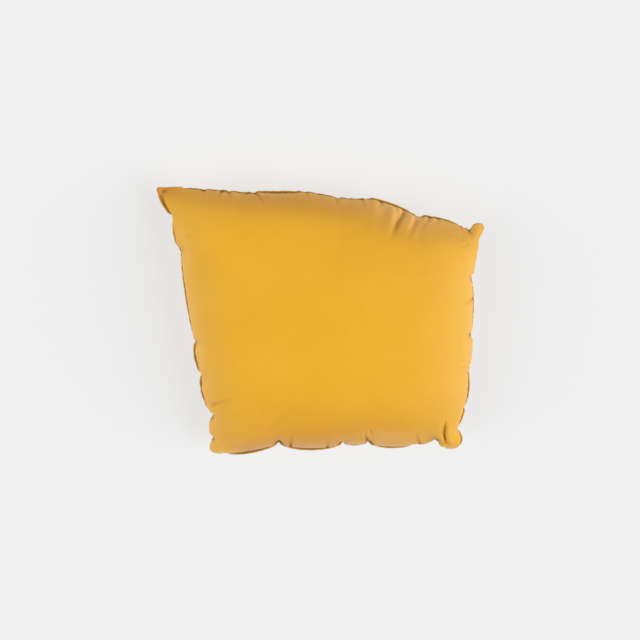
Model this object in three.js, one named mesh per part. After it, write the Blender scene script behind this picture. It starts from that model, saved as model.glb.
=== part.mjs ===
// Square scatter cushion: two cloth panels sewn together all round and filled, lying on its back.
// Millimetres, +Z up. The face looks up, and the back panel is pressed flat where it rests.
// The cushion is one filled solid: both panels meet in the knife-edge seam round its rim.

import * as THREE from 'three';

// Driving sizes
const PANEL = 450;            // side of each cloth panel, seam to seam, before filling
const SEAM_HEIGHT = 50;       // seam plane above the surface it lies on
const FACE_RISE = 65;         // crown of the face above the seam plane
const CROWN_FALL = 0.14;      // share of that rise lost from the middle to a side
const BACK_DROP = 78;         // depth the back panel would fill to if nothing pressed it
const FOOT_BLEND = 7;         // height over which the back rounds into its flat foot
const PUCKER_REACH = 62;      // how far inward the seam's ins and outs fade in the panels
const EAR_REACH = 26;         // the same at the corners, where the ears stay short
const EAR_SPAN = 0.09;        // share of a side over which a corner's own shape fades
const FOLD_BLEND = 9;         // how far in from the seam folds and ears reach their full depth
const SCALLOP_ROUND = 0.6;    // 1 is a parabola between two puckers, less is flatter on top
const STATION_PITCH = 6;      // spacing of the seam's points between two puckers
const EAR_PITCH = 4;          // spacing of the seam's points round a corner
const COLOUR = 0xe3a834;      // mustard yellow velvet

// The stuffing left in an ear: its middle, in knob offsets from the corner, and its radius, in
// knob radii
const EAR_PUFF = { at: 1.6, radius: 1.7 };

// The slow rise and dip of the seam round the rim: height, and the lengths of its two waves
const SEAM_WAVE = { height: 1.6, acrossX: 37, acrossY: 61, alongY: 43 };

// Shoulder of the face at each side: the distance in which the panel turns from the seam's
// slope to the flat of the face. The filling lies a little away from the bottom side.
const FACE_SHOULDER = { top: 53, right: 51, bottom: 65, left: 46 };
const BACK_SHOULDER = { top: 65, right: 71, bottom: 73, left: 66 };

// The cloth turns over the edge, so near the seam it covers less plan than its own width: how
// much less in all, and how far in from the seam that lasts
const EDGE_TURN = [
  { side: 'top', turn: 11, fade: 20 },
  { side: 'right', turn: 9, fade: 18 },
  { side: 'bottom', turn: 5, fade: 16 },
  { side: 'left', turn: 8, fade: 16 },
];

// Corners in the seam plane, clockwise from the top left, each with its ear: a soft knob of
// the seam's end. knobX and knobY are its centre measured from the corner, flank the rise of
// the seam between the knob and the puckers beside it, puff the stuffing left in the ear, and
// lift how far the ear stands above the seam plane.
const CORNERS = [
  { x: -242, y: 227, knobX: -0.5, knobY: 2.5, radius: 4, flank: 0, puff: 4, lift: 2 },
  { x: 217, y: 175, knobX: -9.5, knobY: 1, radius: 10, flank: 1, puff: 7, lift: 5 },
  { x: 222, y: -198, knobX: -13, knobY: 11, radius: 17, flank: 0.5, puff: 11, lift: -2 },
  { x: -198, y: -204, knobX: 10.5, knobY: 5.5, radius: 12, flank: 1, puff: 8, lift: -3 },
];

// Puckers, clockwise. along is measured from the side's first corner, out is how far the seam
// stands outside the straight line between the corners, and swell is the rise of the scallop
// from this pucker to the next. The last swell of a side belongs to the corner's ear.
const PUCKERS = {
  top: [
    { along: 14, out: 7, swell: 1 },
    { along: 41, out: 9, swell: -0.5 },
    { along: 65, out: 10.5, swell: -0.5 },
    { along: 99, out: 12.5, swell: -2 },
    { along: 133, out: 15.5, swell: -1 },
    { along: 198, out: 23.5, swell: 0.5 },
    { along: 244, out: 21, swell: -1 },
    { along: 286, out: 24, swell: 5 },
    { along: 361, out: 7, swell: 5.4 },
    { along: 426, out: 0.8, swell: 3 },
    { along: 440, out: -4, swell: 0 },
  ],
  right: [
    { along: 11, out: -4.5, swell: 0.8 },
    { along: 74, out: -9.5, swell: 3.4 },
    { along: 168, out: -0.8, swell: 4.2 },
    { along: 230, out: 0.3, swell: 4.6 },
    { along: 295, out: 1, swell: 2.2 },
    { along: 336, out: -6.2, swell: 0 },
  ],
  bottom: [
    { along: 44, out: -14, swell: 5.5 },
    { along: 77, out: -8.5, swell: 9.6 },
    { along: 156, out: -13.5, swell: 5 },
    { along: 198, out: -13, swell: 12.5 },
    { along: 305, out: -14.5, swell: 7.2 },
    { along: 394, out: 5.5, swell: 0 },
  ],
  left: [
    { along: 29, out: -9, swell: 6.8 },
    { along: 71, out: -16.5, swell: 8.5 },
    { along: 144, out: -10, swell: 5 },
    { along: 200, out: -9.5, swell: 3.5 },
    { along: 343, out: -13.5, swell: 3.5 },
    { along: 390, out: -12.5, swell: 0 },
  ],
};

// Main folds that run in from the seam: valleys in the face, placed on the flat panel. along is
// where a fold starts, measured clockwise on its side, and turn the angle off straight inward,
// towards the side's far end when positive.
const FOLDS = [
  { side: 'top', along: 131, length: 34, turn: 28, width: 7, depth: 3 },
  { side: 'top', along: 331, length: 60, turn: -32, width: 7, depth: 4.5 },
  { side: 'top', along: 349, length: 50, turn: -24, width: 7, depth: 4 },
  { side: 'right', along: 24, length: 50, turn: 14, width: 8, depth: 2 },
  { side: 'right', along: 97, length: 44, turn: -21, width: 8, depth: 3 },
  { side: 'right', along: 133, length: 60, turn: -1, width: 7, depth: 2.5 },
  { side: 'right', along: 204, length: 44, turn: -18, width: 8, depth: 3 },
  { side: 'right', along: 266, length: 60, turn: -20, width: 7, depth: 3 },
  { side: 'bottom', along: 36, length: 100, turn: 9, width: 7, depth: 6 },
  { side: 'bottom', along: 60, length: 106, turn: 12, width: 9, depth: 5 },
  { side: 'bottom', along: 84, length: 90, turn: 14, width: 7, depth: 3 },
  { side: 'bottom', along: 157, length: 90, turn: 17, width: 7, depth: 4.5 },
  { side: 'bottom', along: 219, length: 56, turn: 3, width: 7, depth: 5 },
  { side: 'bottom', along: 304, length: 76, turn: -4, width: 7, depth: 3 },
  { side: 'bottom', along: 323, length: 58, turn: -4, width: 8, depth: 7 },
  { side: 'left', along: 29, length: 44, turn: 41, width: 7, depth: 4 },
  { side: 'left', along: 73, length: 122, turn: 43, width: 9, depth: 5.5 },
  { side: 'left', along: 137, length: 52, turn: 39, width: 7, depth: 2.5 },
  { side: 'left', along: 205, length: 50, turn: 35, width: 7, depth: 3 },
  { side: 'left', along: 349, length: 46, turn: 17, width: 7, depth: 3 },
  { side: 'left', along: 401, length: 38, turn: 16, width: 7, depth: 4 },
];

// Rings of points from the seam inward, as insets in the flat panel. share is the part of the
// seam's points that the ring keeps.
const RINGS = [
  { inset: 0, share: 1 },
  { inset: 6, share: 1 },
  { inset: 13, share: 1 },
  { inset: 22, share: 1 },
  { inset: 34, share: 1 },
  { inset: 50, share: 1 },
  { inset: 72, share: 0.5 },
  { inset: 100, share: 0.5 },
  { inset: 136, share: 0.25 },
  { inset: 180, share: 0.25 },
];

const SIDES = EDGE_TURN.map(({ side }) => side);

// The two corners that a side runs between, with its direction and its outward normal
function frameOfSide(index) {
  const from = CORNERS[index];
  const to = CORNERS[(index + 1) % 4];
  const start = new THREE.Vector2(from.x, from.y);
  const run = new THREE.Vector2(to.x - from.x, to.y - from.y);
  const length = run.length();
  run.divideScalar(length);
  return { start, run, length, outward: new THREE.Vector2(-run.y, run.x) };
}

// A point of the seam plane, along a side and outside its straight line
function pointOnSide(side, along, out) {
  return side.start.clone().addScaledVector(side.run, along).addScaledVector(side.outward, out);
}

// A number of steps of about the given pitch, which four divides as the coarser rings need
function stepsOf(length, pitch) {
  return Math.max(4, 4 * Math.round(length / pitch / 4));
}

// The scallop from one pucker to the next: a flat-topped arc over the line between them
function scallop(side, index, first, second) {
  const steps = stepsOf(second.along - first.along, STATION_PITCH);
  const stations = [];
  for (let i = 0; i < steps; i += 1) {
    const f = i / steps;
    const along = first.along + f * (second.along - first.along);
    const rise = first.swell * (4 * f * (1 - f)) ** SCALLOP_ROUND;
    const out = first.out + f * (second.out - first.out) + rise;
    stations.push({ side: index, f: along / side.length, point: pointOnSide(side, along, out) });
  }
  return stations;
}

// Where the straight line from a neck touches the knob's circle, as an angle round its centre
function touchAngle(centre, radius, neck, turn) {
  const away = neck.clone().sub(centre);
  return away.angle() + turn * Math.acos(Math.min(1, radius / away.length()));
}

// A point of the seam between a neck and the knob, which swells outward a little
function flankPoint(from, to, f, rise) {
  const run = to.clone().sub(from).normalize();
  const out = new THREE.Vector2(-run.y, run.x).multiplyScalar(4 * rise * f * (1 - f));
  return from.clone().lerp(to, f).add(out);
}

// The ear at a corner: from one neck to the knob, round it, and on to the other neck
function ear(index, lastPucker, nextPucker) {
  const corner = CORNERS[(index + 1) % 4];
  const before = frameOfSide(index);
  const after = frameOfSide((index + 1) % 4);
  const neckIn = pointOnSide(before, lastPucker.along, lastPucker.out);
  const neckOut = pointOnSide(after, nextPucker.along, nextPucker.out);
  const centre = new THREE.Vector2(corner.x + corner.knobX, corner.y + corner.knobY);
  const start = touchAngle(centre, corner.radius, neckIn, -1);
  let end = touchAngle(centre, corner.radius, neckOut, 1);
  while (end > start) end -= 2 * Math.PI;
  while (end < start - 2 * Math.PI) end += 2 * Math.PI;
  const onKnob = (angle) => new THREE.Vector2(
    centre.x + corner.radius * Math.cos(angle),
    centre.y + corner.radius * Math.sin(angle),
  );
  const flankIn = neckIn.distanceTo(onKnob(start));
  const arc = (start - end) * corner.radius;
  const flankOut = neckOut.distanceTo(onKnob(end));
  const total = flankIn + arc + flankOut;
  const steps = stepsOf(total, EAR_PITCH);
  const firstF = lastPucker.along / before.length;
  const lastF = nextPucker.along / after.length;
  const stations = [];
  for (let i = 0; i < steps; i += 1) {
    const way = (i / steps) * total;
    let point;
    if (way < flankIn) {
      point = flankPoint(neckIn, onKnob(start), way / flankIn, corner.flank);
    } else if (way < flankIn + arc) {
      point = onKnob(start - (way - flankIn) / corner.radius);
    } else {
      point = flankPoint(onKnob(end), neckOut, (way - flankIn - arc) / flankOut, corner.flank);
    }
    const half = (2 * i) / steps;
    if (half < 1) stations.push({ side: index, f: firstF + half * (1 - firstF), point });
    else stations.push({ side: (index + 1) % 4, f: (half - 1) * lastF, point });
  }
  return stations;
}

// All points of the seam, clockwise, each with its place on the flat panel's edge
function seamStations() {
  const stations = [];
  SIDES.forEach((name, index) => {
    const side = frameOfSide(index);
    const marks = PUCKERS[name];
    for (let i = 0; i + 1 < marks.length; i += 1) {
      stations.push(...scallop(side, index, marks[i], marks[i + 1]));
    }
    const next = PUCKERS[SIDES[(index + 1) % 4]];
    stations.push(...ear(index, marks[marks.length - 1], next[0]));
  });
  return stations;
}

// A seam point's place in the flat panel when it is moved inward by inset
function onPanel(station, inset) {
  const run = inset + station.f * (PANEL - 2 * inset);
  const back = PANEL - run;
  const far = PANEL - inset;
  return [
    { u: run, v: far },
    { u: far, v: back },
    { u: back, v: inset },
    { u: inset, v: run },
  ][station.side];
}

// The flat panel carried to the four corners in the seam plane
function fromCorners({ u, v }) {
  const right = u / PANEL;
  const up = v / PANEL;
  const [topLeft, topRight, bottomRight, bottomLeft] = CORNERS;
  const top = new THREE.Vector2(topLeft.x, topLeft.y).lerp(topRight, right);
  const bottom = new THREE.Vector2(bottomLeft.x, bottomLeft.y).lerp(bottomRight, right);
  return bottom.lerp(top, up);
}

// How full the panel stands at a place: 0 on the seam, about 1 over the middle
function fullness({ u, v }, shoulder) {
  return Math.tanh(u / shoulder.left) * Math.tanh((PANEL - u) / shoulder.right)
    * Math.tanh(v / shoulder.bottom) * Math.tanh((PANEL - v) / shoulder.top);
}

// The slow crown that the middle of a filled panel keeps
function crown({ u, v }) {
  const across = (2 * u) / PANEL - 1;
  const along = (2 * v) / PANEL - 1;
  return 1 - CROWN_FALL * (across * across + along * along);
}

// The stuffing left in the ears, as a height on both panels
function earPuff(plan) {
  return CORNERS.reduce((sum, corner) => {
    const dx = plan.x - corner.x - EAR_PUFF.at * corner.knobX;
    const dy = plan.y - corner.y - EAR_PUFF.at * corner.knobY;
    const reach = EAR_PUFF.radius * corner.radius;
    return sum + corner.puff * Math.exp(-(dx * dx + dy * dy) / reach ** 2);
  }, 0);
}

// How far the corners lift or droop out of the seam plane
function cornerLift({ u, v }) {
  const right = u / PANEL;
  const up = v / PANEL;
  const [topLeft, topRight, bottomRight, bottomLeft] = CORNERS;
  return topLeft.lift * ((1 - right) * up) ** 3 + topRight.lift * (right * up) ** 3
    + bottomRight.lift * (right * (1 - up)) ** 3 + bottomLeft.lift * ((1 - right) * (1 - up)) ** 3;
}

// A place of the flat panel, as how far along a side, clockwise, and how far in from it
function fromSide(name, { u, v }) {
  return {
    top: { along: u, inset: PANEL - v },
    right: { along: PANEL - v, inset: PANEL - u },
    bottom: { along: PANEL - u, inset: v },
    left: { along: v, inset: u },
  }[name];
}

// The depth of all folds at a place of the face
function foldDepth(place) {
  return FOLDS.reduce((sum, fold) => {
    const { along, inset } = fromSide(fold.side, place);
    const angle = THREE.MathUtils.degToRad(fold.turn);
    const ahead = (along - fold.along) * Math.sin(angle) + inset * Math.cos(angle);
    const across = (along - fold.along) * Math.cos(angle) - inset * Math.sin(angle);
    if (ahead > fold.length) return sum;
    const fade = Math.cos(((Math.PI / 2) * Math.max(ahead, 0)) / fold.length) ** 2;
    return sum + fold.depth * fade * Math.exp(-((across / fold.width) ** 2));
  }, 0);
}

// The seam's height, with its slow rise and dip
function seamHeight(place, plan) {
  const wave = Math.sin(plan.x / SEAM_WAVE.acrossX + plan.y / SEAM_WAVE.acrossY);
  return SEAM_HEIGHT + cornerLift(place) + SEAM_WAVE.height * wave * Math.cos(plan.y / SEAM_WAVE.alongY);
}

// How near a corner a station is: 1 at the corner, fading along the sides
function nearCorner(station) {
  return Math.exp(-((Math.min(station.f, 1 - station.f) / EAR_SPAN) ** 2));
}

// How far in from the seam a ring lies in plan, once its cloth has turned over the edge. Near a
// corner the two sides' turns are shared.
function insetInPlan(station, inset) {
  const own = EDGE_TURN[station.side];
  const other = EDGE_TURN[(station.side + (station.f < 0.5 ? 3 : 1)) % 4];
  const share = nearCorner(station) / 2;
  const turn = THREE.MathUtils.lerp(own.turn, other.turn, share);
  const fade = THREE.MathUtils.lerp(own.fade, other.fade, share);
  return inset - turn * (1 - (2 * inset) / PANEL - Math.exp(-inset / fade));
}

// Where a ring's point lies in plan: it follows the seam, and less so further in
function planPoint(station, inset) {
  const laid = insetInPlan(station, inset);
  const edge = fromCorners(onPanel(station, 0));
  const reach = THREE.MathUtils.lerp(PUCKER_REACH, EAR_REACH, nearCorner(station));
  const shift = station.point.clone().sub(edge).multiplyScalar(Math.exp(-laid / reach));
  return fromCorners(onPanel(station, laid)).add(shift);
}

// One point of a panel, whose sheet gives its height
function panelPoint(station, inset, sheet) {
  const place = onPanel(station, inset);
  const plan = planPoint(station, inset);
  const seam = seamHeight(place, plan);
  return new THREE.Vector3(plan.x, plan.y, sheet(place, plan, seam, Math.tanh(inset / FOLD_BLEND)));
}

// Height of the face
function faceSheet(place, plan, seam, blend) {
  const full = fullness(place, FACE_SHOULDER) * crown(place);
  return seam + FACE_RISE * full + blend * (earPuff(plan) - foldDepth(place));
}

// Height of the back, rounded into the flat foot
function backSheet(place, plan, seam, blend) {
  const free = seam - BACK_DROP * fullness(place, BACK_SHOULDER) - blend * earPuff(plan);
  if (free > FOOT_BLEND) return free;
  if (free < -FOOT_BLEND) return 0;
  return (free + FOOT_BLEND) ** 2 / (4 * FOOT_BLEND);
}

// Height of the seam itself
function seamSheet(place, plan, seam) {
  return seam;
}

// The closed skin: the seam ring once, the inner rings once for each panel, and two centres
function cushionGeometry() {
  const stations = seamStations();
  const positions = [];
  const triangles = [];
  const push = (point) => {
    positions.push(point.x, point.y, point.z);
    return positions.length / 3 - 1;
  };
  const seamRing = stations.map((station) => push(panelPoint(station, 0, seamSheet)));

  // Joins two rings of the same count, or a ring to one of half its count
  const join = (outer, inner, add) => {
    const ratio = outer.length / inner.length;
    inner.forEach((here, i) => {
      const next = inner[(i + 1) % inner.length];
      const first = outer[i * ratio];
      const last = outer[((i + 1) * ratio) % outer.length];
      if (ratio === 1) {
        add(first, last, here);
        add(here, last, next);
      } else {
        const middle = outer[i * ratio + 1];
        add(first, middle, here);
        add(here, middle, next);
        add(middle, last, next);
      }
    });
  };

  const panel = (sheet, faceUp) => {
    const add = (a, b, c) => triangles.push(...(faceUp ? [a, c, b] : [a, b, c]));
    let outer = seamRing;
    RINGS.slice(1).forEach(({ inset, share }) => {
      const kept = stations.filter((_, i) => i % (1 / share) === 0);
      const inner = kept.map((station) => push(panelPoint(station, inset, sheet)));
      join(outer, inner, add);
      outer = inner;
    });
    const middle = push(panelPoint(stations[0], PANEL / 2, sheet));
    outer.forEach((here, i) => add(here, outer[(i + 1) % outer.length], middle));
  };
  panel(faceSheet, true);
  panel(backSheet, false);

  const geometry = new THREE.BufferGeometry();
  geometry.setAttribute('position', new THREE.Float32BufferAttribute(positions, 3));
  geometry.setIndex(triangles);
  return geometry;
}

// Moves the solid so that the middle of its box stands on the origin
function standOnOrigin(geometry) {
  geometry.computeBoundingBox();
  const { min, max } = geometry.boundingBox;
  geometry.translate(-(min.x + max.x) / 2, -(min.y + max.y) / 2, -min.z);
  geometry.computeVertexNormals();
  return geometry;
}

const velvet = new THREE.MeshStandardMaterial({ color: COLOUR, roughness: 0.85, metalness: 0 });
const cushion = new THREE.Mesh(standOnOrigin(cushionGeometry()), velvet);
cushion.name = 'cushion';

const group = new THREE.Group();
group.add(cushion);

export default group;
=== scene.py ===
"""Square scatter cushion in mustard velvet, filled, lying on its back with the face up.

Two square panels are laid on each other, sewn round the rim and filled: the cover is a grid
for each panel, welded at the seam, blown up by the cloth simulation with the seam held on the
cushion's outline. Creases, the rolled edge of the seam and the pile's relief come after it.
"""

import math

import bpy
import numpy as np
from mathutils import Matrix, Vector


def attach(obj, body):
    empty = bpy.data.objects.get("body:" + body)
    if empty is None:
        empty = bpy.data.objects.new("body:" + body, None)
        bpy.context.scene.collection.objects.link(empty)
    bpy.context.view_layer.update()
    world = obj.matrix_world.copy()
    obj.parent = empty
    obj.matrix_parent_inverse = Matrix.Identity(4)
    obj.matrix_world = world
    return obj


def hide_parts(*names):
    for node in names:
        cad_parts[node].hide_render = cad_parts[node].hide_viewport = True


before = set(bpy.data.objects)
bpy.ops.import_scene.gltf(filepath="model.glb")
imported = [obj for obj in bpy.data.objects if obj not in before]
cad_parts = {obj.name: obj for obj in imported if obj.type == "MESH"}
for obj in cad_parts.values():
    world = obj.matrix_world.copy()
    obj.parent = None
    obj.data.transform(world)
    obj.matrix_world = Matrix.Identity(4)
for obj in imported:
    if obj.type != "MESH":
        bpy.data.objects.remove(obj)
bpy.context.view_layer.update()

MM = 0.001

# Sizes of the cover, in millimetres
PANEL = 450          # side of each panel, seam to seam
CELLS = 76           # cells of each panel's grid along a side, before it is subdivided
RIM_PITCH = 4.6      # first cell beside the seam
TRUE_RIM = 10        # how far in the rim's exact line is carried
SEAM_HEIGHT = 50     # seam plane above the floor
FACE_RISE = 62       # the face before it is blown up, over the seam plane
BACK_DROP = 74       # the back before it is pressed flat, under the seam plane
FOOT_BLEND = 7       # height over which the back rounds into its flat foot
PUCKER_REACH = 62    # how far inward the seam's ins and outs fade
EAR_REACH = 26       # the same at the corners
EAR_SPAN = 0.09 * PANEL   # how far from a corner that is so
CROWN = 0.14         # share of its rise that the face loses at the middle of each side
PUFF_AT = 1.6        # middle of an ear's puff, in steps of its knob's own place
PUFF_REACH = 1.7     # its reach, in radii of the knob
PUFF_RIM = 9         # how far in from the seam the puff is nearly whole
ON_RIM = 0.01        # a point this near the seam lies on it
KNOB_STEPS = 24      # points round each knob
# The seam's slight rise and fall: its height, and the lengths in X and Y that set its waves
SEAM_WAVE = 1.6
WAVE_X = 37
WAVE_Y = 61
WAVE_FADE = 43       # length in Y over which the waves come and go

# How the cover is blown up: the cloth grows a little beside the seam, where it is gathered
BLOW_FRAMES = 24
GATHER_SHARE = 0.06   # growth of the cloth where it is most
GATHER_AT = 14        # how far in from the seam that is
GATHER_CORNER = 40    # no growth nearer the corners than about this
BLOW_CAP = 8          # most that a point may move
CLOTH = dict(
    quality=6, mass=0.3, tension_stiffness=30, compression_stiffness=30, shear_stiffness=10,
    bending_stiffness=0.5, tension_damping=8, compression_damping=8, shear_damping=8,
    bending_damping=1, air_damping=2, use_pressure=True, uniform_pressure_force=2,
    vertex_group_mass="seam", pin_stiffness=50, vertex_group_shrink="gather",
)
LEAST_WEIGHT = 0.001  # a vertex group leaves out what weighs less
TINY = 1e-12          # keeps a length from being 0 where it divides
# Places of the panel where the filling keeps the cloth smooth: place, reach and what is left
# of the cloth's own movement there
TAUT = ((78, 372, 85, 0.12),)

# How soon past a pucker the seam is full, as the power of a rise from 0 to 1 and back: the
# smaller, the sooner
SCALLOP_RISE = 0.6    # for a scallop's rise outside the line between its puckers
SCALLOP_FULL = 0.3    # for its fullness, and so its lip
EAR_FULL = 0.4        # for an ear's fullness
EAR_LIP = 0.8         # for its lips
# Middles and reach of the lips before and after an ear's tip, as shares of the way round it
LIP_MIDDLES = (0.24, 0.76)
LIP_REACH = 0.28

# The seam's rolled edge, between the puckers
DITCH_DEPTH = 2.4      # how far the stitches lie inside the outline
DITCH_WIDTH = 1.6      # how far in from the seam that fades
FOLD_AT = 4.5          # middle of the folds of face and back, in from the seam
FOLD_WIDTH = 3.5       # how far from their middle they fade
SEAM_GAP = 1.7         # half width of the painted shade line at the stitches
SEAM_LEAST = 0.35      # its share of tone at the puckers
LIP_SHADE = 0.08       # how much wider it is for each millimetre of the lip
FACE_SHARE = 0.4       # how far the face is set back for each millimetre of the back's lip

SIDES = ("top", "right", "bottom", "left")
PANEL_CORNERS = ((0, PANEL), (PANEL, PANEL), (PANEL, 0), (0, 0))
# How far in from the seam the face is subdivided once more, and the back
FINE_FACE = {"top": 52, "right": 56, "bottom": 88, "left": 44}
FINE_BACK = 22
# How far in from each side the face and the back reach most of their height
FACE_SHOULDER = {"top": 50, "right": 48, "bottom": 60, "left": 42}
BACK_SHOULDER = {"top": 62, "right": 66, "bottom": 66, "left": 62}
# The cloth turns over the edge, so near the seam it covers less plan than its own width:
# how much less in all, and how far in from the seam that lasts
EDGE_TURN = {"top": (11, 20), "right": (9, 18), "bottom": (5, 16), "left": (8, 16)}

# Corners in the seam plane, clockwise. Each ear ends in a soft knob: its middle from the
# corner, its radius, how far its flanks bow out, how far it puffs up, how far the seam lifts
# there, the lips of the two flanks, the one before the tip first, and how much of the painted
# sheen on the edge is missing
CORNERS = (
    dict(
        x=-242, y=227, knob_x=-0.5, knob_y=2.5, radius=4,
        flank=0, puff=4, lift=2, lips=(6.5, 0), dull=0.85,
    ),
    dict(
        x=217, y=175, knob_x=-9.5, knob_y=1, radius=10,
        flank=1, puff=7, lift=5, lips=(-1, -0.5), dull=0.6,
    ),
    dict(
        x=222, y=-198, knob_x=-13, knob_y=11, radius=17,
        flank=0.5, puff=11, lift=-2, lips=(5, -1), dull=1,
    ),
    dict(
        x=-198, y=-204, knob_x=10.5, knob_y=5.5, radius=12,
        flank=1, puff=8, lift=-3, lips=(2, -1.5), dull=0.5,
    ),
)

# Puckers of the seam: place along the side, how far it stands outside the straight line
# between the corners, the rise of the scallop to the next pucker, and the lip there: how far
# the back's fold stands out past the seam, or below 0 the face's fold, which then hides it
PUCKERS = {
    "top": (
        (14, 7, 1, -1), (41, 9, -0.5, 0.8), (65, 10.5, -0.5, 0.8), (99, 12.5, -2, 1),
        (133, 15.5, -1, 2.5), (198, 23.5, 0.5, 0.8), (244, 21, -1, 0.8), (286, 24, 5, 2.4),
        (361, 7, 5.4, 1.7), (426, 0.8, 3, 0.5), (440, -4, 0, 0),
    ),
    "right": (
        (11, -4.5, 0.8, -1), (74, -9.5, 3.4, 3), (168, -0.8, 4.2, -1), (230, 0.3, 4.6, 4.5),
        (295, 1, 2.2, 5), (336, -6.2, 0, 0),
    ),
    "bottom": (
        (44, -14, 5.5, 5), (77, -8.5, 9.6, 7.5), (156, -13.5, 5, 7), (198, -13, 12.5, 9),
        (305, -14.5, 7.2, 8), (394, 5.5, 0, 0),
    ),
    "left": (
        (29, -9, 6.8, -1), (71, -16.5, 8.5, 4), (144, -10, 5, 5), (200, -9.5, 3.5, 3.5),
        (343, -13.5, 3.5, 4), (390, -12.5, 0, 0),
    ),
}

# Folds of the face: side, where along it and how far in the fold starts, length, turn off
# straight inward in degrees, width and depth
FOLDS = (
    ("top", 311, 12, 42, -22, 6, -2.6),
    ("top", 328, 5, 58, -31, 4, 2.3),
    ("top", 339, 9, 28, -28, 3.5, -1.3),
    ("top", 343, 10, 44, -24, 3.5, 2),
    ("top", 424, 0, 30, -36, 4, 1.5),
    ("right", 24, 0, 50, 14, 7, 1.5),
    ("right", 97, 0, 44, -21, 6, 2.5),
    ("right", 204, 0, 44, -18, 6, 2.5),
    ("bottom", 39, 24, 80, 9, 6, 4),
    ("bottom", 52, 0, 64, 10, 7, 4),
    ("bottom", 60, 0, 110, 12, 11, 3.5),
    ("bottom", 168, 0, 60, 7, 7, 5),
    ("bottom", 215, 0, 56, 3, 6, 4),
    ("bottom", 323, 0, 58, -4, 7, 4.5),
    ("left", 29, 0, 44, 41, 6, 2.4),
    ("left", 73, 0, 60, 43, 7, 2.6),
    ("left", 98, 20, 60, 34, 5, -1.8),
    ("left", 112, 28, 74, 36, 5, 2.6),
    ("left", 137, 0, 52, 39, 6, 2),
    ("left", 205, 0, 50, 35, 6, 2.5),
    ("left", 349, 0, 46, 17, 6, 2.5),
    ("left", 408, 0, 32, 12, 5, 1.5),
)
# Sharp creases of the face, in the same columns
CREASES = (
    ("top", 39, 3, 11, 90, 1.8, 2.5),
    ("top", 60, 3, 13, 90, 1.8, 2.5),
    ("top", 87, 3, 15, 90, 1.8, 2.5),
    ("top", 120, 3, 18, 90, 1.8, 2.5),
    ("top", 45, 0, 14, 0, 2.4, 1),
    ("top", 66, 0, 14, 3, 2.4, 1),
    ("top", 88, 0, 26, -21, 2.2, 1.8),
    ("top", 98, 0, 14, 4, 2.8, 1.6),
    ("top", 131, 0, 28, 28, 2.8, 3),
    ("top", 196, 0, 18, 19, 2.2, 1.6),
    ("top", 213, 0, 16, 25, 2.2, 1.4),
    ("top", 233, 0, 16, 18, 2.2, 1.8),
    ("top", 271, 0, 18, 6, 2.4, 1.8),
    ("top", 297, 0, 20, -19, 2.8, 1.8),
    ("top", 316, 10, 34, -11, 4, 1.4),
    ("top", 328, 5, 52, -30, 2.2, 1.4),
    ("top", 366, 0, 26, -39, 2.4, 2.2),
    ("top", 377, 0, 18, -30, 2.4, 1.2),
    ("right", 27, 28, 22, 23, 2.6, 1.1),
    ("right", 50, 34, 24, 6, 2.6, 1.1),
    ("right", 133, 0, 62, -1, 2.6, 2.6),
    ("right", 254, 12, 44, -27, 2.6, 1.6),
    ("right", 266, 0, 60, -20, 2.6, 2.8),
    ("bottom", 39.5, 41, 36, 167, 2.4, 3),
    ("bottom", 38.5, 44.5, 56, 13, 2.4, 3),
    ("bottom", 80, 0, 96, 14, 3.2, 2.8),
    ("bottom", 173.5, 34, 54, 10, 2.6, 2.8),
    ("bottom", 168, 62, 30, 19, 2.6, 1.7),
    ("bottom", 218, 0, 60, 3, 2.6, 1.6),
    ("bottom", 240, 0, 72, 0, 2.6, 2.2),
    ("bottom", 304, 0, 80, -4, 2.6, 3),
    ("bottom", 323, 0, 50, -4, 2.6, 1.2),
    ("left", 73, 0, 40, 43, 2.6, 0.7),
    ("left", 379, 35, 20, 50, 4, 1.4),
    ("left", 428, 7, 22, 86, 2.2, 3),
    ("left", 440, 12.5, 11, 62, 2, 3),
)

# The low ridge on each side of a crease: its share of the depth, and its middle and reach in
# widths of the crease
RIDGE_SHARE = 0.3
RIDGE_AT = 1.7
RIDGE_REACH = 0.8
RELIEF_RIM = 2           # how far in from the seam the creases are nearly whole
FACE_CREASED = 125       # how far in from the seam the face has creases, and the back
BACK_CREASED = 60
FOLD_SHADE_AT = 0.8      # depth at which a crease starts to get painted shade
FOLD_SHADE_OVER = 3      # depth over which that grows to its whole tone

# Small creases drawn at random beside the seam, as ranges of length, turn and width
GATHER_SIZES = ((10, 26), (-18, 18), (2.5, 5))
GATHER_START = (16, 26)  # range of the first one's place along a side
GATHER_PITCH = (7, 18)   # range of the steps between them
GATHER_END = 16          # none nearer the end of a side
PUCKER_SIZES = ((14, 24), (-14, 14), (3, 4.5))
PUCKER_DEPTH = (0.7, 1.2)   # range of their shares of the depth

# Painted shade on the face: middle in the panel, reach each way and share, which takes
# painted shade away where it is below 0
PAINTED_SHADE_PATCHES = (
    (150, 300, 110, 110, 0.08),
    (290, 385, 120, 55, 0.15),
    (245, 65, 215, 70, 0.46),
    (245, 30, 215, 40, 0.35),
    (245, 8, 210, 20, 0.3),
    (70, 20, 90, 24, 0.45),
    (18, 20, 35, 35, -0.5),
    (425, 50, 38, 36, -0.22),
    (185, 444, 185, 22, 1),
    (8, 444, 22, 14, 0.5),
    (25, 438, 45, 30, 0.15),
    (400, 440, 60, 20, 0.15),
    (322, 418, 36, 14, 0.3),
    (395, 430, 40, 14, 0.25),
)
# Painted sheen along the rims of the face: reach in from each side of the face, and share
PAINTED_SHEEN_SIDES = {"top": (13, 0.9), "right": (46, 0.62), "bottom": (24, 0.5), "left": (26, 0.85)}
# Where the face has more painted sheen, or below 0 less, in the columns of the shade patches
PAINTED_SHEEN_PATCHES = (
    (320, 436, 45, 16, 0.3),
    (275, 54, 85, 22, 0.12),
    (302, 60, 36, 18, 0.25),
    (425, 75, 35, 30, -0.2),
)
DULL_REACH = 70          # how far from a corner the painted sheen is missing
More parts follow.
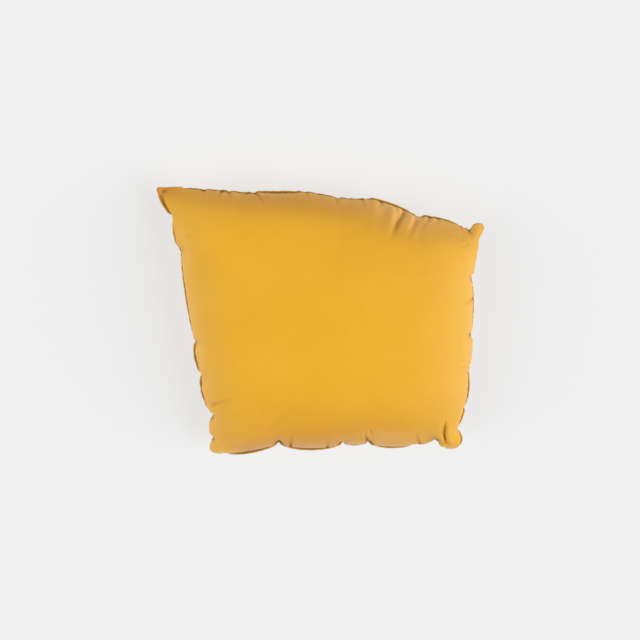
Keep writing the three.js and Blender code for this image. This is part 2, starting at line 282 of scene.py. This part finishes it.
# The painted sheen strip of the back: its middle and reach in from the seam, and share
STRIP_AT = 18
STRIP_REACH = 12
STRIP_SHARE = 0.6

# Camera, as seen from over the cushion's top edge
VIEW_TILT = 22        # degrees off straight above, towards the top edge
VIEW_LEAN = 2         # degrees towards the left edge
VIEW_ROLL = 0.8       # degrees about the line of sight
VIEW_DISTANCE = 0.855   # metres, from the point that it looks at
VIEW_AIM = (-0.0072, 0.0222, 0.050)   # that point, in metres
VIEW_WIDTH = 640      # the frame in pixels
VIEW_FOCAL = 560      # the focal length in pixels

FLOOR_SIZE = 8        # side of the floor and width of the round wall, in metres
SUN_AWAY = 3          # metres to each lamp, which does not change a sun's light


# Curves that several steps share

def bell(x):
    """1 at 0, fading on both sides to nearly nothing at 2."""
    return np.exp(-(x ** 2))


def nearness(u, v, at_u, at_v, reach):
    """1 at one place of the panel, fading all round it over the reach."""
    return np.exp(-((u - at_u) ** 2 + (v - at_v) ** 2) / reach ** 2)


# Seam outline

def side_frame(index):
    """Start, run, length and outward normal of one side's straight line."""
    a, b = CORNERS[index], CORNERS[(index + 1) % 4]
    start = np.array((a["x"], a["y"]), float)
    run = np.array((b["x"], b["y"]), float) - start
    length = np.linalg.norm(run)
    run /= length
    return start, run, length, np.array((-run[1], run[0]))


def on_side(index, along, out):
    start, run, _, outward = side_frame(index)
    return start + np.multiply.outer(along, run) + np.multiply.outer(out, outward)


def scallop(index, first, second, steps=48):
    """The seam from one pucker to the next: shares of the rim, points, fullness and lip."""
    f = np.arange(steps) / steps
    along = first[0] + f * (second[0] - first[0])
    out = first[1] + f * (second[1] - first[1]) + first[2] * (4 * f * (1 - f)) ** SCALLOP_RISE
    full = np.sin(math.pi * f) ** SCALLOP_FULL
    return index + along / side_frame(index)[2], on_side(index, along, out), full, first[3] * full


def touch_angle(centre, radius, neck, turn):
    """Where the straight line from a neck touches the knob, as an angle round its centre."""
    away = neck - centre
    return math.atan2(away[1], away[0]) + turn * math.acos(min(1, radius / np.linalg.norm(away)))


def flank(a, b, rise, steps=24):
    """The seam's bowed run between a neck and a knob."""
    f = np.arange(steps)[:, None] / steps
    run = (b - a) / np.linalg.norm(b - a)
    return a + f * (b - a) + 4 * rise * f * (1 - f) * np.array((-run[1], run[0]))


def ear(index, last, first):
    """The seam round the corner after a side, from its last pucker to the next side's first."""
    after = (index + 1) % 4
    corner = CORNERS[after]
    neck_in = on_side(index, last[0], last[1])
    neck_out = on_side(after, first[0], first[1])
    centre = np.array((corner["x"] + corner["knob_x"], corner["y"] + corner["knob_y"]), float)
    radius = corner["radius"]
    start = touch_angle(centre, radius, neck_in, -1)
    end = touch_angle(centre, radius, neck_out, 1)
    while end > start:
        end -= 2 * math.pi
    while end < start - 2 * math.pi:
        end += 2 * math.pi
    angles = np.linspace(start, end, KNOB_STEPS, endpoint=False)
    knob = centre + radius * np.stack((np.cos(angles), np.sin(angles)), 1)
    tip = centre + radius * np.array((math.cos(end), math.sin(end)))
    points = np.concatenate((
        flank(neck_in, knob[0], corner["flank"]), knob, flank(tip, neck_out, corner["flank"]),
    ))
    steps = np.linalg.norm(np.diff(points, axis=0, append=neck_out[None]), axis=1)
    way = np.concatenate(([0], np.cumsum(steps)[:-1])) / steps.sum()
    from_share = index + last[0] / side_frame(index)[2]
    to_share = index + 1 + first[0] / side_frame(after)[2]
    corner_share = index + 1
    share = np.where(
        way < 0.5,
        from_share + 2 * way * (corner_share - from_share),
        corner_share + (2 * way - 1) * (to_share - corner_share),
    )
    full = np.sin(math.pi * way) ** EAR_FULL
    before, after_tip = (bell((way - middle) / LIP_REACH) for middle in LIP_MIDDLES)
    lip = corner["lips"][0] * before + corner["lips"][1] * after_tip
    return share, points, full, lip * np.sin(math.pi * way) ** EAR_LIP


def seam_outline():
    """The whole seam clockwise: shares of the rim from 0 to 4, points in plan, fullness and lip."""
    pieces = []
    for index, name in enumerate(SIDES):
        marks = PUCKERS[name]
        pieces += [scallop(index, a, b) for a, b in zip(marks, marks[1:])]
        pieces.append(ear(index, marks[-1], PUCKERS[SIDES[(index + 1) % 4]][0]))
    share, point, full, lip = (np.concatenate(part) for part in zip(*pieces))
    return (
        np.append(share, share[0] + 4), np.concatenate((point, point[:1])),
        np.append(full, full[0]), np.append(lip, lip[0]),
    )


SEAM_SHARE, SEAM_POINT, SEAM_FULL, SEAM_LIP = seam_outline()


def around(share, values):
    """Values of the seam at shares of the rim."""
    return np.interp(np.mod(share - SEAM_SHARE[0], 4) + SEAM_SHARE[0], SEAM_SHARE, values)


def seam_at(share):
    return np.stack([around(share, SEAM_POINT[:, k]) for k in (0, 1)], -1)


def seam_normal(share, step=0.01):
    """The seam's outward direction in plan."""
    run = seam_at(share + step) - seam_at(share - step)
    run /= np.linalg.norm(run, axis=1)[:, None]
    return np.column_stack((-run[:, 1], run[:, 0]))


def side_place(name, u, v):
    """How far along a side, clockwise, and how far in from it a place of the panel is."""
    return {
        "top": (u, PANEL - v), "right": (PANEL - v, PANEL - u),
        "bottom": (PANEL - u, v), "left": (v, u),
    }[name]


def rim_place(u, v):
    """The nearest share of the rim, and how far in from it a place of the panel is."""
    along, inset = (np.stack(part) for part in zip(*(side_place(name, u, v) for name in SIDES)))
    nearest = inset.argmin(0)
    each = np.arange(len(u))
    return nearest + along[nearest, each] / PANEL, inset[nearest, each]


def corner_distance(u, v):
    return np.hypot(np.minimum(u, PANEL - u), np.minimum(v, PANEL - v))


def from_corners(u, v):
    """The flat panel carried to the four corners in the seam plane."""
    right, up = (u / PANEL)[:, None], (v / PANEL)[:, None]
    tl, tr, br, bl = (np.array((c["x"], c["y"]), float) for c in CORNERS)
    return (1 - up) * ((1 - right) * bl + right * br) + up * ((1 - right) * tl + right * tr)


def over_edge(place, low, high):
    """A place across the panel moved towards the seams, as the cloth turns over both edges."""
    (low_turn, low_fade), (high_turn, high_fade) = EDGE_TURN[low], EDGE_TURN[high]
    share = place / PANEL
    return (
        place - low_turn * (1 - share - np.exp(-place / low_fade))
        + high_turn * (share - np.exp(-(PANEL - place) / high_fade))
    )


def turned(u, v):
    """Where a place of the panel lies once the cloth has turned over its four edges."""
    return over_edge(u, "left", "right"), over_edge(v, "bottom", "top")


def plan_of(u, v):
    """Where a place of the flat panel lies in plan: it follows the seam, less so further in."""
    u, v = turned(u, v)
    zero, far = np.zeros_like(u), np.full_like(u, PANEL)
    edges = {"top": (u, far), "right": (far, v), "bottom": (u, zero), "left": (zero, v)}
    plan = from_corners(u, v)
    near = bell(corner_distance(u, v) / EAR_SPAN)
    reach = PUCKER_REACH + near * (EAR_REACH - PUCKER_REACH)
    for index, name in enumerate(SIDES):
        along, inset = side_place(name, u, v)
        shift = seam_at(index + along / PANEL) - from_corners(*edges[name])
        plan += shift * np.exp(-inset / reach)[:, None]
    for number, (cu, cv) in enumerate(PANEL_CORNERS):
        tip = seam_at(np.array([float(number)]))[0]
        shift = tip - np.array((CORNERS[number]["x"], CORNERS[number]["y"]), float)
        both = np.abs(u - cu) + np.abs(v - cv)
        plan -= shift * np.exp(-both / reach)[:, None]
    return plan


def centre_shift():
    """The shift that brings the seam's box over the origin, as the frame's own box is."""
    low, high = SEAM_POINT.min(0), SEAM_POINT.max(0)
    return -(low + high) / 2


# Heights

def fullness(u, v, shoulder):
    """Share of the height, from 0 at the seam to 1 well inside it."""
    return (
        np.tanh(u / shoulder["left"]) * np.tanh((PANEL - u) / shoulder["right"])
        * np.tanh(v / shoulder["bottom"]) * np.tanh((PANEL - v) / shoulder["top"])
    )


def crown(u, v):
    return 1 - CROWN * ((2 * u / PANEL - 1) ** 2 + (2 * v / PANEL - 1) ** 2)


def ear_puff(plan):
    """How much higher the cover stands in the ears."""
    total = np.zeros(len(plan))
    for c in CORNERS:
        middle = np.array((c["x"] + PUFF_AT * c["knob_x"], c["y"] + PUFF_AT * c["knob_y"]))
        away = ((plan - middle) ** 2).sum(1)
        total += c["puff"] * np.exp(-away / (PUFF_REACH * c["radius"]) ** 2)
    return total


def corner_lift(u, v):
    right, up = u / PANEL, v / PANEL
    tl, tr, br, bl = (c["lift"] for c in CORNERS)
    return (
        tl * ((1 - right) * up) ** 3 + tr * (right * up) ** 3
        + br * (right * (1 - up)) ** 3 + bl * ((1 - right) * (1 - up)) ** 3
    )


def crease(u, v, row):
    """One crease's share of its depth, and the place across it in its own widths."""
    name, place, start, length, turn, width, _ = row
    along, inset = side_place(name, u, v)
    angle = math.radians(turn)
    ahead = (along - place) * math.sin(angle) + (inset - start) * math.cos(angle)
    across = (along - place) * math.cos(angle) - (inset - start) * math.sin(angle)
    fade = np.cos(math.pi / 2 * np.clip(ahead / length, 0, 1)) ** 2
    return fade * bell(np.minimum(ahead, 0) / width), across / width


def seam_height(u, v, plan):
    x, y = plan.T
    wave = SEAM_WAVE * np.sin(x / WAVE_X + y / WAVE_Y) * np.cos(y / WAVE_FADE)
    return SEAM_HEIGHT + corner_lift(u, v) + wave


def rest_on_floor(z):
    """Rounds what would reach under the floor into the flat foot."""
    blend = (z + FOOT_BLEND) ** 2 / (4 * FOOT_BLEND)
    return np.where(z > FOOT_BLEND, z, np.where(z < -FOOT_BLEND, 0, blend))


def start_shape(u, v, side):
    """The cover as it is laid on the seam before it is blown up, in metres."""
    plan = plan_of(u, v)
    seam = seam_height(u, v, plan)
    inset = np.minimum(np.minimum(u, PANEL - u), np.minimum(v, PANEL - v))
    rim = np.tanh(inset / PUFF_RIM)
    face = FACE_RISE * fullness(u, v, FACE_SHOULDER) * crown(u, v) + rim * ear_puff(plan)
    back = -BACK_DROP * fullness(u, v, BACK_SHOULDER) - rim * ear_puff(plan)
    z = seam + np.where(side > 0, face, np.where(side < 0, back, 0))
    return np.column_stack((plan + centre_shift(), z)) * MM


# Cover mesh

def only(obj):
    """Selects one object alone and makes it the active one."""
    bpy.ops.object.select_all(action="DESELECT")
    obj.select_set(True)
    bpy.context.view_layer.objects.active = obj


def read_points(mesh):
    flat = np.empty(len(mesh.vertices) * 3, np.float32)
    mesh.vertices.foreach_get("co", flat)
    return flat.reshape(-1, 3).astype(float)


def write_points(mesh, points):
    mesh.vertices.foreach_set("co", np.ascontiguousarray(points, np.float32).ravel())
    mesh.update()


def store(mesh, name, values):
    layer = mesh.attributes.get(name) or mesh.attributes.new(name, "FLOAT", "POINT")
    layer.data.foreach_set("value", np.ascontiguousarray(values, np.float32))


def fetch(mesh, name):
    values = np.empty(len(mesh.vertices), np.float32)
    mesh.attributes[name].data.foreach_get("value", values)
    return values.astype(float)


def graded_lines():
    """Places of the grid's lines across the panel, closer together beside the seam."""
    f = np.linspace(-1, 1, CELLS + 1)
    even = PANEL / CELLS
    strength = 1 - RIM_PITCH / even
    return PANEL / 2 * (f + strength * np.sin(math.pi * f) / math.pi) + PANEL / 2


def sew_cover():
    """Two grids laid face to face and welded round the rim, with their flat places stored."""
    bpy.ops.object.select_all(action="DESELECT")
    bpy.ops.mesh.primitive_grid_add(x_subdivisions=CELLS, y_subdivisions=CELLS, size=1)
    cover = bpy.context.object
    cover.name = "cushion_cover"
    bpy.ops.object.mode_set(mode="EDIT")
    bpy.ops.mesh.select_all(action="SELECT")
    bpy.ops.mesh.duplicate()
    bpy.ops.mesh.flip_normals()
    bpy.ops.transform.translate(value=(0, 0, -1))
    bpy.ops.object.mode_set(mode="OBJECT")
    mesh = cover.data
    points = read_points(mesh)
    quarter_cell = 0.25 / CELLS
    on_rim = np.abs(points[:, :2]).max(1) > 0.5 - quarter_cell
    points[:, 2] = np.where(on_rim, 0, np.where(points[:, 2] > -0.5, 1, -1))
    write_points(mesh, points)
    bpy.ops.object.mode_set(mode="EDIT")
    bpy.ops.mesh.select_all(action="SELECT")
    bpy.ops.mesh.remove_doubles(threshold=1e-4)
    bpy.ops.object.mode_set(mode="OBJECT")
    points = read_points(mesh)
    lines = graded_lines()
    steps = np.rint((points[:, :2] + 0.5) * CELLS).astype(int)
    store(mesh, "cut_u", lines[steps[:, 0]])
    store(mesh, "cut_v", lines[steps[:, 1]])
    store(mesh, "panel", points[:, 2])
    return cover


def add_group(obj, name, weights):
    group = obj.vertex_groups.new(name=name)
    for number, weight in enumerate(weights):
        if weight > LEAST_WEIGHT:
            group.add([number], float(weight), "REPLACE")


def blow_up(cover, u, v, side):
    """Blows the cover up with the seam held, and gives where its points come to rest."""
    _, inset = rim_place(u, v)
    away_from_corner = 1 - bell(corner_distance(u, v) / GATHER_CORNER)
    add_group(cover, "seam", side == 0)
    add_group(cover, "gather", bell(inset / GATHER_AT - 1) * away_from_corner)
    only(cover)
    cloth = cover.modifiers.new("filling", "CLOTH")
    for name, value in CLOTH.items():
        setattr(cloth.settings, name, value)
    cloth.settings.shrink_max = -GATHER_SHARE
    cloth.settings.effector_weights.gravity = 0
    cloth.collision_settings.use_collision = False
    cloth.point_cache.frame_start = 1
    cloth.point_cache.frame_end = BLOW_FRAMES
    scene = bpy.context.scene
    for number in range(1, BLOW_FRAMES + 1):
        scene.frame_set(number)
    evaluated = cover.evaluated_get(bpy.context.evaluated_depsgraph_get())
    blown = read_points(evaluated.data)
    cover.modifiers.remove(cloth)
    cover.vertex_groups.clear()
    scene.frame_set(1)
    return blown


def hold_back(start, blown, u, v):
    """Caps how far the cloth has moved, and calms it where the filling keeps it taut."""
    move = blown - start
    for at_u, at_v, reach, left in TAUT:
        move *= (1 - (1 - left) * nearness(u, v, at_u, at_v, reach))[:, None]
    length = np.linalg.norm(move, axis=1)[:, None] + TINY
    cap = BLOW_CAP * MM
    return start + move * cap * np.tanh(length / cap) / length


# Finer relief, on the cover once it is blown up

def gather_rows(seed, low, high):
    """Small creases of the gathered cloth beside the seam, unevenly spaced."""
    draw = np.random.RandomState(seed)
    rows = []
    for name in SIDES:
        place = draw.uniform(*GATHER_START)
        while place < PANEL - GATHER_END:
            sizes = [draw.uniform(*limits) for limits in GATHER_SIZES]
            rows.append((name, place, 0, *sizes, draw.uniform(low, high)))
            place += draw.uniform(*GATHER_PITCH)
    return rows


def pucker_rows(seed, depth):
    """One short crease at each pucker, where the stitches draw the cloth in."""
    draw = np.random.RandomState(seed)
    rows = []
    for index, name in enumerate(SIDES):
        length = side_frame(index)[2]
        for along, _, _, _ in PUCKERS[name]:
            sizes = [draw.uniform(*limits) for limits in PUCKER_SIZES]
            place = along / length * PANEL
            rows.append((name, place, 0, *sizes, depth * draw.uniform(*PUCKER_DEPTH)))
    return rows


def trough(u, v, rows):
    """Depth of soft troughs with a low ridge on each side."""
    total = np.zeros(len(u))
    for row in rows:
        fade, across = crease(u, v, row)
        ridge = RIDGE_SHARE * bell((np.abs(across) - RIDGE_AT) / RIDGE_REACH)
        total += row[-1] * fade * (bell(across) - ridge)
    return total


def roll_seam(points, share, inset, side):
    """Sinks the seam between the folds of face and back, one of which stands out past it."""
    full, lip = around(share, SEAM_FULL), around(share, SEAM_LIP)
    ditch = bell(inset / DITCH_WIDTH)
    fold = bell((inset - FOLD_AT) / FOLD_WIDTH)
    face = np.where(lip > 0, -FACE_SHARE * lip, -lip)
    back = np.maximum(lip, 0)
    stand = np.select((side > 0, side < 0), (face, back), 0)
    out = stand * fold - DITCH_DEPTH * full * ditch
    points[:, :2] += (out * MM)[:, None] * seam_normal(share)


def read_normals(mesh):
    flat = np.empty(len(mesh.vertices) * 3, np.float32)
    mesh.vertex_normals.foreach_get("vector", flat)
    return flat.reshape(-1, 3).astype(float)


def patches(u, v, rows):
    """The sum of soft spots on the panel, each with its share in the middle."""
    total = np.zeros(len(u))
    for at_u, at_v, reach_u, reach_v, share in rows:
        total += share * np.exp(-(((u - at_u) / reach_u) ** 2) - ((v - at_v) / reach_v) ** 2)
    return total


def painted_sheen_share(u, v, side):
    """Painted sheen on the face's rims and patches; on the back only a strip a little below the
    seam.
    """
    total = np.where(side > 0, patches(u, v, PAINTED_SHEEN_PATCHES), 0)
    for name, (reach, share) in PAINTED_SHEEN_SIDES.items():
        inset = side_place(name, u, v)[1]
        strip = STRIP_SHARE * bell((inset - STRIP_AT) / STRIP_REACH)
        total += np.where(side > 0, share * np.exp(-inset / reach), strip)
    total = np.clip(total, 0, 1)
    for corner, (at_u, at_v) in zip(CORNERS, PANEL_CORNERS):
        total *= 1 - corner["dull"] * nearness(u, v, at_u, at_v, DULL_REACH)
    return total


def add_relief(mesh):
    """The rolled seam, sharp creases and gathers, and their attributes."""
    u, v, side = (fetch(mesh, name) for name in ("cut_u", "cut_v", "panel"))
    share, _ = rim_place(*turned(u, v))
    _, inset = rim_place(u, v)
    points = read_points(mesh)
    true_rim(points, share, inset)
    write_points(mesh, points)
    normals = read_normals(mesh)
    rim = np.tanh(inset / RELIEF_RIM)
    folds = np.zeros(len(u))
    on_face = (inset < FACE_CREASED) & (side > 0)
    on_back = (inset < BACK_CREASED) & (side < 0)
    at = u[on_face], v[on_face]
    small = pucker_rows(seed=3, depth=1.4) + gather_rows(seed=5, low=0.2, high=0.7)
    folds[on_face] = trough(*at, FOLDS) + trough(*at, CREASES) + trough(*at, small)
    at = u[on_back], v[on_back]
    small = pucker_rows(seed=11, depth=2) + gather_rows(seed=13, low=0.2, high=0.9)
    folds[on_back] = trough(*at, small)
    points -= (folds * rim * MM)[:, None] * normals
    roll_seam(points, share, inset, side)
    points[:, 2] = rest_on_floor(points[:, 2] / MM) * MM
    write_points(mesh, points)
    # A painted shade line at the stitches, wider where the back's lip stands out, less at the
    # puckers
    gap = SEAM_GAP + LIP_SHADE * np.maximum(around(share, SEAM_LIP), 0)
    tone = SEAM_LEAST + (1 - SEAM_LEAST) * around(share, SEAM_FULL)
    store(mesh, "seam", bell(inset / gap) * tone)
    # painted sheen along the rims of the face and in a strip of the back
    store(mesh, "pale", painted_sheen_share(u, v, side))
    # painted shade patches on the face, darker bands where the light falls less
    store(mesh, "painted_shade", np.where(side > 0, patches(u, v, PAINTED_SHADE_PATCHES), 0))
    # painted shade in the creases, growing with their depth
    store(mesh, "fold", np.clip((folds - FOLD_SHADE_AT) / FOLD_SHADE_OVER, 0, 1))


def map_cut(mesh):
    """A UV map in metres of the flat panels, the back's beside the face's with a gap."""
    to_back = 1.1 * PANEL
    u, v, side = (fetch(mesh, name) for name in ("cut_u", "cut_v", "panel"))
    corners = np.empty(len(mesh.loops), np.int32)
    mesh.loops.foreach_get("vertex_index", corners)
    sizes = np.empty(len(mesh.polygons), np.int32)
    mesh.polygons.foreach_get("loop_total", sizes)
    starts = np.cumsum(sizes) - sizes
    sides = np.add.reduceat(side[corners], starts).repeat(sizes)
    shift = np.where(sides > 0, 0, to_back)
    layer = mesh.uv_layers.new(name="cut")
    places = np.column_stack((u[corners] + shift, v[corners])) * MM
    layer.uv.foreach_set("vector", places.astype(np.float32).ravel())


def refine_rim(cover):
    """Subdivides the faces beside the seam once more, where the creases are."""
    mesh = cover.data
    u, v, side = (fetch(mesh, name) for name in ("cut_u", "cut_v", "panel"))
    on_face = np.any(
        [side_place(name, u, v)[1] < reach for name, reach in FINE_FACE.items()], axis=0,
    )
    near = np.where(side > 0, on_face, rim_place(u, v)[1] < FINE_BACK)
    bpy.ops.object.mode_set(mode="EDIT")
    bpy.ops.mesh.select_all(action="DESELECT")
    bpy.ops.object.mode_set(mode="OBJECT")
    for face in mesh.polygons:
        face.select = all(near[corner] for corner in face.vertices)
    bpy.ops.object.mode_set(mode="EDIT")
    bpy.ops.mesh.subdivide(number_cuts=1, smoothness=1)
    bpy.ops.object.mode_set(mode="OBJECT")


def true_rim(points, share, inset):
    """Moves the rim back onto the seam's exact line, which subdivision has rounded off."""
    rim = np.flatnonzero(inset < ON_RIM)
    rim = rim[np.argsort(share[rim])]
    off = seam_at(share[rim]) + centre_shift() - points[rim, :2] / MM
    for axis in (0, 1):
        shift = np.interp(share, share[rim], off[:, axis], period=4)
        points[:, axis] += shift * np.exp(-inset / TRUE_RIM) * MM


def make_cushion():
    cover = sew_cover()
    mesh = cover.data
    u, v, side = (fetch(mesh, name) for name in ("cut_u", "cut_v", "panel"))
    start = start_shape(u, v, side)
    write_points(mesh, start)
    write_points(mesh, hold_back(start, blow_up(cover, u, v, side), u, v))
    only(cover)
    smooth = cover.modifiers.new("smooth", "SUBSURF")
    smooth.levels = smooth.render_levels = 1
    bpy.ops.object.modifier_apply(modifier=smooth.name)
    refine_rim(cover)
    add_relief(cover.data)
    map_cut(cover.data)
    bpy.ops.object.shade_smooth()
    return cover


# Materials

def linear(code):
    """An sRGB hex colour as linear red, green, blue and alpha."""
    parts = [int(code[i:i + 2], 16) / 255 for i in (1, 3, 5)]
    return tuple(c / 12.92 if c <= 0.04045 else ((c + 0.055) / 1.055) ** 2.4 for c in parts) + (1,)


def node(tree, kind, sockets, **settings):
    """Adds a node; a socket takes a constant, or another node's output as a link."""
    made = tree.nodes.new("ShaderNode" + kind)
    for name, value in settings.items():
        setattr(made, name, value)
    for name, value in sockets.items():
        if isinstance(value, bpy.types.NodeSocket):
            tree.links.new(value, made.inputs[name])
        else:
            made.inputs[name].default_value = value
    return made.outputs


# Sockets of a colour Mix node
SHARE, FIRST, SECOND, MIXED = 0, 6, 7, 2


def velvet():
    """Cut-pile polyester velvet, cut and sewn: short dense pile, golden where it stands to the eye
    and paler, less yellow, where it is seen from its side, by the shader's sheen; with painted
    sheen on the rims and painted shade in bands, in the creases and at the stitches."""
    material = bpy.data.materials.new("mustard_velvet")
    material.use_nodes = True
    tree = material.node_tree
    shader = tree.nodes["Principled BSDF"]
    place = node(tree, "TexCoord", {})["Object"]
    cut = node(tree, "UVMap", {}, uv_map="cut")["UV"]

    # The pile's lie drifts over a hand's breadth, and streaks a little along the nap
    drift = node(tree, "TexNoise", {"Vector": place, "Scale": 1 / (85 * MM), "Detail": 2})["Fac"]
    drift = node(tree, "MapRange", {"Value": drift, "From Min": 0.35, "From Max": 0.65})["Result"]
    along_nap = node(tree, "Mapping", {"Vector": cut, "Scale": (1, 0.4, 1)})["Vector"]
    nap = node(tree, "TexNoise", {"Vector": along_nap, "Scale": 1 / (14 * MM), "Detail": 3})["Fac"]
    nap = node(tree, "MapRange", {"Value": nap, "From Min": 0.3, "From Max": 0.7})["Result"]
    # Tufts are 0.3 mm apart, too fine to show, so they are drawn three times as coarse
    tufts = node(tree, "TexNoise", {"Vector": place, "Scale": 1 / (0.9 * MM), "Detail": 1})["Fac"]
    tufts = node(tree, "MapRange", {"Value": tufts, "From Min": 0.3, "From Max": 0.7})["Result"]

    tone = node(
        tree, "Mix", {SHARE: drift, FIRST: linear("#e9ae24"), SECOND: linear("#ebb12a")},
        data_type="RGBA",
    )[MIXED]
    # Tones laid over it in turn: where, by a pattern or the mesh's attribute, how much and what
    coats = (
        (nap, 0.06, "#cf8f1c"),
        (tufts, 0.10, "#b97c14"),
        # painted shade over bands of the face
        ("painted_shade", 1.0, "#c18016"),
        # painted sheen, paler along the rims
        ("pale", 1.0, "#e4b469"),
        # painted shade in the creases
        ("fold", 0.45, "#a8660f"),
        # painted shade line at the stitches
        ("seam", 1.0, "#6b3d08"),
    )
    for share, most, colour in coats:
        if isinstance(share, str):
            share = node(tree, "Attribute", {}, attribute_name=share)["Fac"]
        share = node(tree, "MapRange", {"Value": share, "To Max": most})["Result"]
        tone = node(
            tree, "Mix", {SHARE: share, FIRST: tone, SECOND: linear(colour)}, data_type="RGBA",
        )[MIXED]
    tree.links.new(tone, shader.inputs["Base Color"])
    rough = node(tree, "MapRange", {"Value": nap, "To Min": 0.68, "To Max": 0.8})["Result"]
    tree.links.new(rough, shader.inputs["Roughness"])

    lay = node(tree, "Bump", {"Height": nap, "Strength": 0.25, "Distance": 0.8 * MM})["Normal"]
    pile = node(
        tree, "Bump", {"Height": tufts, "Normal": lay, "Strength": 0.5, "Distance": 0.25 * MM},
    )["Normal"]
    tree.links.new(pile, shader.inputs["Normal"])
    shader.inputs["Sheen Weight"].default_value = 0.3
    shader.inputs["Sheen Roughness"].default_value = 0.42
    shader.inputs["Sheen Tint"].default_value = linear("#f4e3cf")
    shader.inputs["Specular IOR Level"].default_value = 0.2
    return material


def pale_floor():
    """Matt white acrylic lit from inside: pale, without gloss, with only faint shadows."""
    material = bpy.data.materials.new("pale_floor")
    material.use_nodes = True
    shader = material.node_tree.nodes["Principled BSDF"]
    shader.inputs["Base Color"].default_value = linear("#808080")
    shader.inputs["Emission Color"].default_value = linear("#ffffff")
    shader.inputs["Emission Strength"].default_value = 0.64
    shader.inputs["Roughness"].default_value = 1
    shader.inputs["Specular IOR Level"].default_value = 0
    return material


def plain_wall():
    """Seamless white paper, evenly lit: it gives its own pale tone and lights nothing."""
    material = bpy.data.materials.new("plain_wall")
    material.use_nodes = True
    material.cycles.emission_sampling = "NONE"
    shader = material.node_tree.nodes["Principled BSDF"]
    shader.inputs["Base Color"].default_value = linear("#000000")
    shader.inputs["Emission Color"].default_value = linear("#efefef")
    shader.inputs["Emission Strength"].default_value = 1
    shader.inputs["Specular IOR Level"].default_value = 0
    return material


# Studio

def add_wall():
    """A pale wall all round behind the floor's edge, which adds no light and casts no shadow."""
    bpy.ops.object.select_all(action="DESELECT")
    bpy.ops.mesh.primitive_uv_sphere_add(segments=48, ring_count=24, radius=FLOOR_SIZE / 2)
    wall = bpy.context.object
    wall.name = "wall"
    wall.data.materials.append(plain_wall())
    wall.visible_diffuse = wall.visible_glossy = wall.visible_transmission = False
    wall.visible_volume_scatter = wall.visible_shadow = False


def add_floor():
    bpy.ops.object.select_all(action="DESELECT")
    bpy.ops.mesh.primitive_plane_add(size=FLOOR_SIZE)
    floor = bpy.context.object
    floor.name = "floor"
    floor.data.materials.append(pale_floor())


def add_sun(name, strength, azimuth, elevation, softness):
    """A soft far light from an azimuth clockwise from +Y and an elevation, in degrees."""
    data = bpy.data.lights.new(name, "SUN")
    data.energy = strength
    data.angle = math.radians(softness)
    lamp = bpy.data.objects.new(name, data)
    bpy.context.scene.collection.objects.link(lamp)
    a, e = math.radians(azimuth), math.radians(elevation)
    towards = Vector((math.sin(a) * math.cos(e), math.cos(a) * math.cos(e), math.sin(e)))
    lamp.rotation_euler = towards.to_track_quat("Z", "Y").to_euler()
    lamp.location = towards * SUN_AWAY


def add_lights():
    world = bpy.data.worlds.new("studio")
    bpy.context.scene.world = world
    world.use_nodes = True
    world.node_tree.nodes["Background"].inputs["Color"].default_value = linear("#ffffff")
    world.node_tree.nodes["Background"].inputs["Strength"].default_value = 0.2
    add_sun("right_light", strength=3.04, azimuth=90, elevation=33, softness=50)
    add_sun("left_light", strength=2.22, azimuth=270, elevation=30, softness=50)
    bpy.context.scene.view_settings.view_transform = "Standard"


def add_camera():
    tilt, lean, roll = (math.radians(a) for a in (VIEW_TILT, VIEW_LEAN, VIEW_ROLL))
    back = Vector((
        -math.sin(lean), math.sin(tilt) * math.cos(lean), math.cos(tilt) * math.cos(lean),
    ))
    back.normalize()
    up = (Vector((0, 1, 0)) - back.y * back).normalized()
    right = up.cross(back)
    turned_right = math.cos(roll) * right + math.sin(roll) * up
    turned_up = math.cos(roll) * up - math.sin(roll) * right
    data = bpy.data.cameras.new("camera")
    data.sensor_width = 36
    data.lens = data.sensor_width * VIEW_FOCAL / VIEW_WIDTH
    camera = bpy.data.objects.new("camera", data)
    bpy.context.scene.collection.objects.link(camera)
    turn = Matrix((turned_right, turned_up, back)).transposed()
    place = Vector(VIEW_AIM) + VIEW_DISTANCE * back
    camera.matrix_world = Matrix.Translation(place) @ turn.to_4x4()
    bpy.context.scene.camera = camera


add_camera()
add_lights()
add_floor()
add_wall()
cushion = make_cushion()
cushion.data.materials.clear()
cushion.data.materials.append(velvet())
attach(cushion, "root")
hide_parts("cushion")
